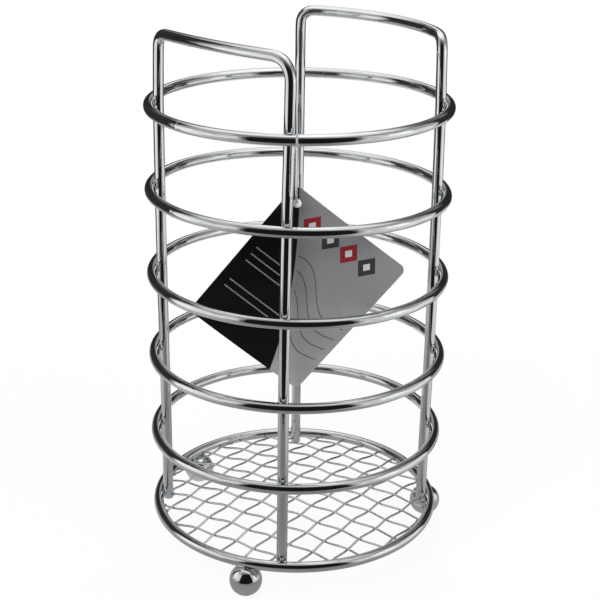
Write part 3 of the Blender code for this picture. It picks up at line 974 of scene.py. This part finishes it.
def makeCloth(name, seed):
    look = cloths[name]
    material = bpy.data.materials.new("tent_" + name)
    material.use_nodes = True
    tree = material.node_tree
    tree.nodes.clear()
    place = objectPlace(tree)
    axes = dict(zip("xyz", splitAxes(tree, place)))
    axes["side"] = calc(tree, "ABSOLUTE", axes["x"])
    level = look["dull"]
    for strength, *fades in look["glows"]:
        glow = strength
        for axis, start, end, *centre in fades:
            value = distanceFrom(tree, place, *centre) if axis == "round" else axes[axis]
            glow = calc(tree, "MULTIPLY", glow, fade(tree, value, start, end))
        level = calc(tree, "ADD", level, glow)
    shift = addNode(tree, "ShaderNodeVectorMath", operation="ADD")
    tree.links.new(place, shift.inputs[0])
    shift.inputs[1].default_value = (seed, seed, seed)
    folds = noiseValue(tree, shift.outputs[0], **crease["noise"])
    creases = mapRange(tree, folds, *crease["range"], 1 - look["creases"], 1 + look["creases"])
    cloth = addNode(tree, "ShaderNodeEmission")
    feed(tree, cloth.inputs["Strength"], calc(tree, "MULTIPLY", level, creases))
    output = addNode(tree, "ShaderNodeOutputMaterial")
    tree.links.new(cloth.outputs[0], output.inputs["Surface"])
    return material


def makeTent():
    unseen = {"visible_camera": False, "visible_shadow": False, "visible_transmission": False,
              "visible_diffuse": False}
    left, right, front, rear, bench, top, gap, gapLow = tent.values()
    panels = {
        "left": (((left, front, bench), (left, rear, top)),),
        "right": (((right, front, bench), (right, rear, top)),),
        "roof": (((left, front, top), (right, rear, top)),),
        "bench": (((left, front, bench), (right, rear, bench)),),
        "mouth": (((left, front, bench), (right, front, top)),),
        "rear": (((left, rear, bench), (-gap, rear, top)), ((gap, rear, bench), (right, rear, top)),
                 ((-gap, rear, bench), (gap, rear, gapLow))),
    }
    for seed, (name, pieces) in enumerate(panels.items()):
        material = makeCloth(name, seed * crease["seed"])
        for count, (low, high) in enumerate(pieces):
            stagePiece(f"tent_{name}_{count + 1}", panelShape(low, high), material, **unseen)


def seenDirectly(tree):
    # One for the camera's own rays, and for those by way of metal or nylon
    path = addNode(tree, "ShaderNodeLightPath")
    mirrored = calc(tree, "MAXIMUM", path.outputs["Is Glossy Ray"],
                    path.outputs["Is Transmission Ray"])
    return calc(tree, "MAXIMUM", path.outputs["Is Camera Ray"], mirrored)


# Pale floor: white to the camera, with a share of the object's soft shadow kept on it,
# full within the first of the radii and gone at the second
paleFloor = {
    "colour": (0.82, 0.82, 0.82, 1), "roughness": 0.9, "shadowShare": 0.08,
    "shadowRadii": (0.10, 0.32), "reach": 3, "height": -0.0003,
}


def makeFloorPlane():
    material, tree, shader = newMaterial("pale_floor")
    shader.inputs["Base Color"].default_value = paleFloor["colour"]
    shader.inputs["Roughness"].default_value = paleFloor["roughness"]
    away = addNode(tree, "ShaderNodeVectorMath", operation="LENGTH")
    tree.links.new(objectPlace(tree), away.inputs[0])
    shadowShare = mapRange(tree, away.outputs["Value"], *paleFloor["shadowRadii"],
                           paleFloor["shadowShare"], 0.0)
    glow = addNode(tree, "ShaderNodeEmission")
    mix = addNode(tree, "ShaderNodeMixShader")
    choice = addNode(tree, "ShaderNodeMixShader")
    for node, items in ((mix, (shadowShare, glow.outputs[0], shader.outputs[0])),
                        (choice, (seenDirectly(tree), shader.outputs[0], mix.outputs[0]))):
        for socket, item in zip(node.inputs, items):
            tree.links.new(item, socket)
    tree.links.new(choice.outputs[0], tree.nodes["Material Output"].inputs["Surface"])
    reach, height = paleFloor["reach"], paleFloor["height"]
    stagePiece("floor", panelShape((-reach, -reach, height), (reach, reach, height)), material)


# How strongly the room lights what isn't seen directly
roomGlow = 0.35


def makeWorld():
    world = bpy.data.worlds.new("studio")
    scene.world = world
    world.use_nodes = True
    tree = world.node_tree
    tree.nodes.clear()
    room = addNode(tree, "ShaderNodeBackground")
    white = addNode(tree, "ShaderNodeBackground")
    for node, strength in ((room, roomGlow), (white, 1.0)):
        node.inputs["Color"].default_value = (1.0, 1.0, 1.0, 1.0)
        node.inputs["Strength"].default_value = strength
    mix = addNode(tree, "ShaderNodeMixShader")
    output = addNode(tree, "ShaderNodeOutputWorld")
    for socket, item in zip(mix.inputs, (seenDirectly(tree), room.outputs[0], white.outputs[0])):
        tree.links.new(item, socket)
    tree.links.new(mix.outputs[0], output.inputs["Surface"])


# Soft lamps for the card and the floor, which don't show in the chrome
lamps = {
    "key": {"place": (-0.35, -0.62, 0.72), "size": 0.5, "power": 6.0},
    "fill": {"place": (0.50, -0.45, 0.40), "size": 0.5, "power": 2.2},
    "rear": {"place": (0.10, 0.70, 0.60), "size": 0.5, "power": 4.0},
}
lampAim = Vector((0, 0, 0.10))


def addLamps():
    for name, lamp in lamps.items():
        light = bpy.data.lights.new(name, "AREA")
        light.shape = "DISK"
        light.size = lamp["size"]
        light.energy = lamp["power"]
        obj = bpy.data.objects.new(name, light)
        scene.collection.objects.link(obj)
        obj.location = lamp["place"]
        obj.rotation_euler = (lampAim - obj.location).to_track_quat("-Z", "Y").to_euler()
        obj.visible_glossy = False
        obj.visible_camera = False
        obj.visible_transmission = False


# Camera, solved from the photograph: angles are degrees, distances are from the axis
view = {
    "focal": 84.169, "sensor": 36.0, "distance": 0.502637, "height": 0.274293,
    "yaw": 0.1472, "pitch": 20.7522, "roll": 0.7472, "clipStart": 0.01,
}


def addCamera():
    yaw, pitch, roll = (math.radians(view[key]) for key in ("yaw", "pitch", "roll"))
    ahead = Vector((math.sin(yaw) * math.cos(pitch), math.cos(yaw) * math.cos(pitch),
                    -math.sin(pitch)))
    levelRight = Vector((math.cos(yaw), -math.sin(yaw), 0))
    levelUp = levelRight.cross(ahead)
    right = levelRight * math.cos(roll) + levelUp * math.sin(roll)
    up = levelUp * math.cos(roll) - levelRight * math.sin(roll)
    camera = bpy.data.cameras.new("camera")
    camera.sensor_width = view["sensor"]
    camera.lens = view["focal"]
    camera.clip_start = view["clipStart"]
    obj = bpy.data.objects.new("camera", camera)
    scene.collection.objects.link(obj)
    matrix = Matrix((right, up, -ahead)).transposed().to_4x4()
    matrix.translation = holderAxis + Vector((0, -view["distance"], view["height"]))
    obj.matrix_world = matrix
    scene.camera = obj


makeTent()
makeFloorPlane()
makeWorld()
addLamps()
addCamera()
scene.view_settings.view_transform = "Standard"
print("studio made")
